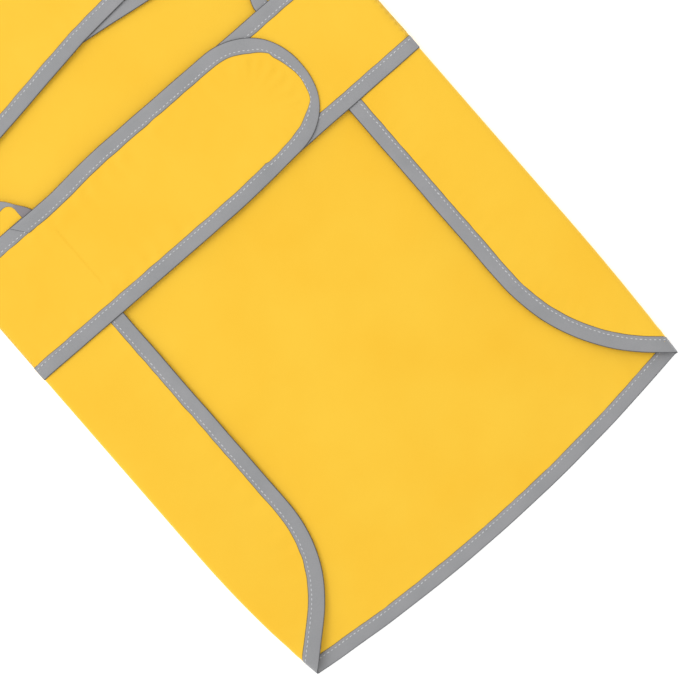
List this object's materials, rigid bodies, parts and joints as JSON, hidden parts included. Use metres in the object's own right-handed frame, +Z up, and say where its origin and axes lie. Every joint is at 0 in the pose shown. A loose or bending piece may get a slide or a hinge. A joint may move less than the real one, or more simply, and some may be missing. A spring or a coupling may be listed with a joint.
{
  "type": "dog raincoat",
  "caption": "Yellow waterproof dog coat with bound edges, a belly strap, chest flaps, a stand collar and a leash opening, fastened and laid on its back.",
  "frame": {"origin": "centre of the coat's outline, in the plane its back lies on, which is also the middle of the belly strap's rear edge seen in plan", "axes": "+Y towards the head, +Z up from the back's outer face to the belly side, +X to the side where the strap's round end lies"},
  "size_m": [0.3214, 0.548, 0.011],
  "materials": {
    "coated_cloth": "satin",
    "reflective_tape": "matte",
    "hook_tape": "matte",
    "loop_tape": "matte",
    "label_cloth": "satin"
  },
  "bodies": {
    "back": {"back_panel": "coated_cloth", "tail_hem_binding": "reflective_tape", "collar_back": "coated_cloth", "collar_back_binding": "reflective_tape", "leash_port_welt": "reflective_tape", "leash_port_patch": "coated_cloth", "size_label": "label_cloth"},
    "left_side": {"left_side_panel": "coated_cloth", "left_side_binding": "reflective_tape", "left_strap_root": "coated_cloth", "left_root_front_binding": "reflective_tape", "left_root_rear_binding": "reflective_tape"},
    "right_side": {"right_side_panel": "coated_cloth", "right_side_binding": "reflective_tape", "right_strap_root": "coated_cloth", "right_root_front_binding": "reflective_tape", "right_root_rear_binding": "reflective_tape"},
    "left_chest": {"left_chest_flap": "coated_cloth", "left_chest_binding": "reflective_tape", "collar_left": "coated_cloth", "collar_left_binding": "reflective_tape", "chest_hook_patch": "hook_tape"},
    "right_chest": {"right_chest_flap": "coated_cloth", "right_chest_binding": "reflective_tape", "collar_right": "coated_cloth", "collar_right_binding": "reflective_tape", "chest_loop_patch": "loop_tape"},
    "belly_strap": {"belly_strap": "coated_cloth", "belly_strap_binding": "reflective_tape", "belly_hook_patch": "hook_tape"},
    "belly_flap": {"belly_flap": "coated_cloth", "belly_flap_binding": "reflective_tape", "belly_loop_patch": "loop_tape"}
  },
  "joints": [
    {"name": "left_side_fold", "type": "hinge", "parent": "back", "child": "left_side", "pos_m": [-0.1605, 0, 0.0037], "axis": [0, 1, 0], "range_deg": [-175, 0]},
    {"name": "right_side_fold", "type": "hinge", "parent": "back", "child": "right_side", "pos_m": [0.1605, 0, 0.0037], "axis": [0, -1, 0], "range_deg": [-175, 0]},
    {"name": "left_chest_fold", "type": "hinge", "parent": "back", "child": "left_chest", "pos_m": [-0.1605, 0.114, 0.0037], "axis": [0.4321, 0.9018, 0], "range_deg": [-175, 0]},
    {"name": "right_chest_fold", "type": "hinge", "parent": "back", "child": "right_chest", "pos_m": [0.1605, 0.114, 0.0037], "axis": [0.4321, -0.9018, 0], "range_deg": [-175, 0]},
    {"name": "belly_strap_fold", "type": "hinge", "parent": "left_side", "child": "belly_strap", "pos_m": [-0.112, 0, 0.0092], "axis": [0, -1, 0], "range_deg": [0, 175]},
    {"name": "belly_flap_fold", "type": "hinge", "parent": "right_side", "child": "belly_flap", "pos_m": [0.112, 0, 0.0086], "axis": [0, 1, 0], "range_deg": [0, 175]}
  ],
  "couplings": [
    {"joint": "right_side_fold", "follows": "left_side_fold", "ratio": 1},
    {"joint": "right_chest_fold", "follows": "left_chest_fold", "ratio": 1},
    {"joint": "belly_flap_fold", "follows": "belly_strap_fold", "ratio": 1}
  ]
}
